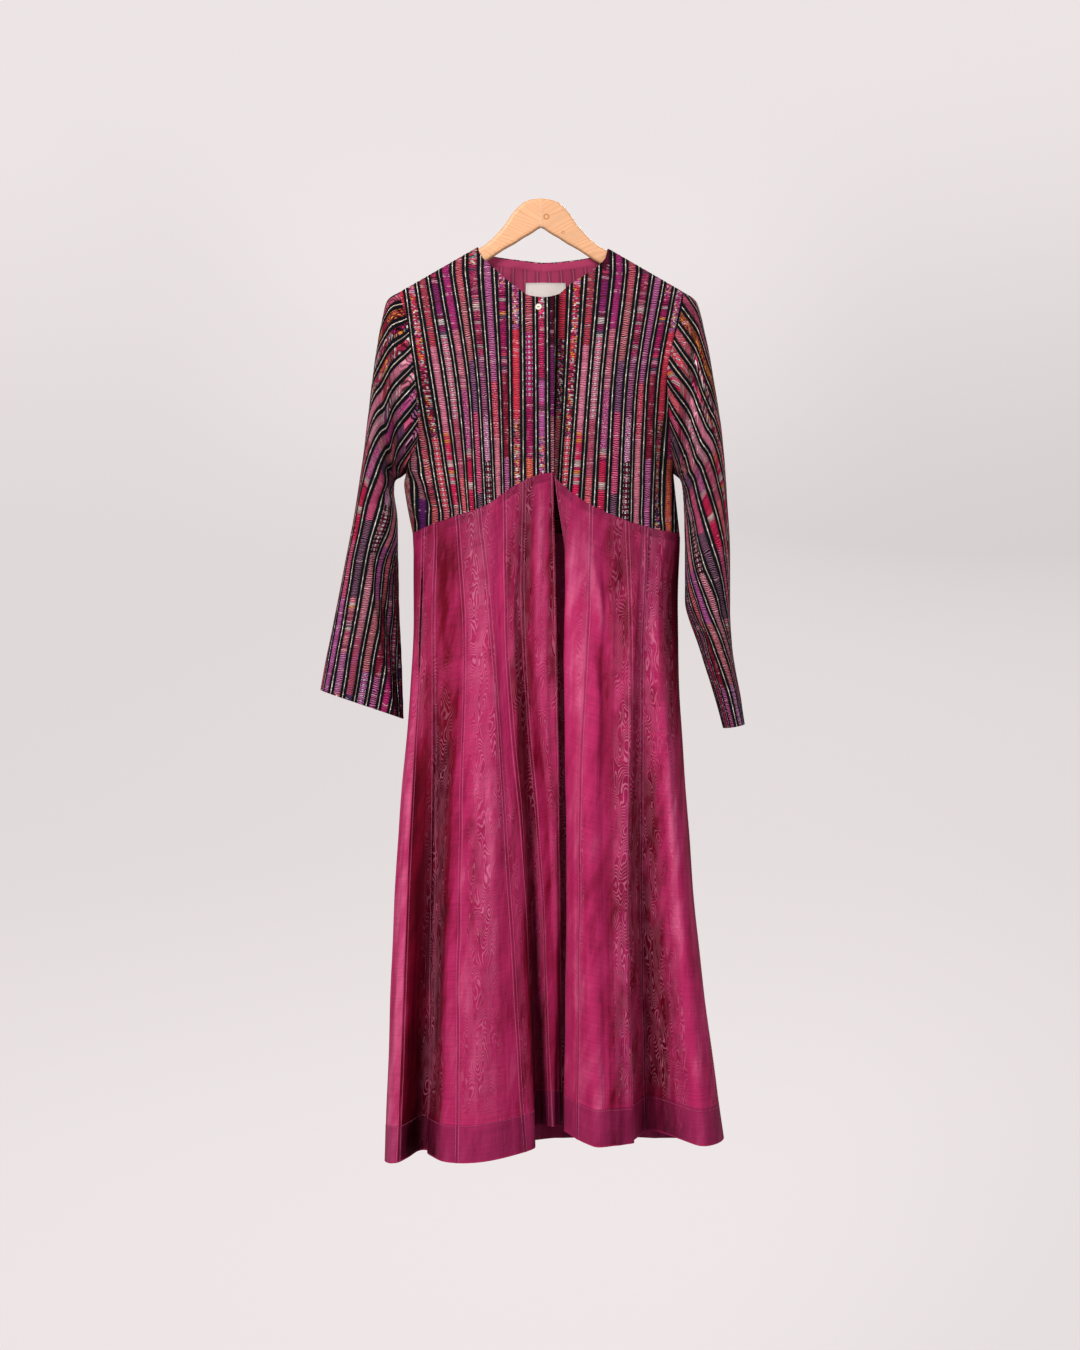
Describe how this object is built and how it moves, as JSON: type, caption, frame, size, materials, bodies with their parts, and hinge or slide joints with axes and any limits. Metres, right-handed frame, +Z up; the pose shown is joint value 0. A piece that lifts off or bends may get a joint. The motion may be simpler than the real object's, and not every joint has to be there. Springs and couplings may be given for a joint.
{
  "type": "kurta tunic on a hanger",
  "caption": "Long kurta tunic with a striped patch-cloth bodice and sleeves and a flared silk skirt of panels, open down the front, hanging on a wooden hanger.",
  "frame": {"origin": "top of the hanger, at the mouth of the socket that its hook screws into", "axes": "+Z up, -Y towards the front of the garment, +X to the right as seen from the front"},
  "size_m": [0.563, 0.2291, 1.2905],
  "materials": {
    "striped_cloth": "woven stripes of patched silk with corded ridges, matt to satin",
    "pink_silk": "fine silk cotton, soft sheen with a moire",
    "lining_silk": "fine silk cotton",
    "label_tape": "woven tape",
    "button_shell": "polished shell",
    "hanger_wood": "varnished pine"
  },
  "bodies": {
    "root": {"hanger_arm_left": "hanger_wood", "hanger_arm_right": "hanger_wood", "bodice_front_left": "striped_cloth", "bodice_front_right": "striped_cloth", "bodice_back": "striped_cloth", "sleeve_left": "striped_cloth", "sleeve_right": "striped_cloth", "back_neck_lining": "lining_silk", "neck_label": "label_tape", "neck_button": "button_shell", "kali_front_left_1": "pink_silk", "kali_front_left_2": "pink_silk", "kali_front_left_3": "pink_silk", "kali_front_left_4": "pink_silk", "kali_front_left_5": "pink_silk", "kali_front_left_6": "pink_silk", "kali_front_right_1": "pink_silk", "kali_front_right_2": "pink_silk", "kali_front_right_3": "pink_silk", "kali_front_right_4": "pink_silk", "kali_back_1": "pink_silk", "kali_back_2": "pink_silk", "kali_back_3": "pink_silk", "kali_back_4": "pink_silk", "kali_back_5": "pink_silk", "kali_back_6": "pink_silk", "kali_back_7": "pink_silk", "kali_back_8": "pink_silk", "kali_back_9": "pink_silk", "kali_back_10": "pink_silk"}
  },
  "joints": []
}
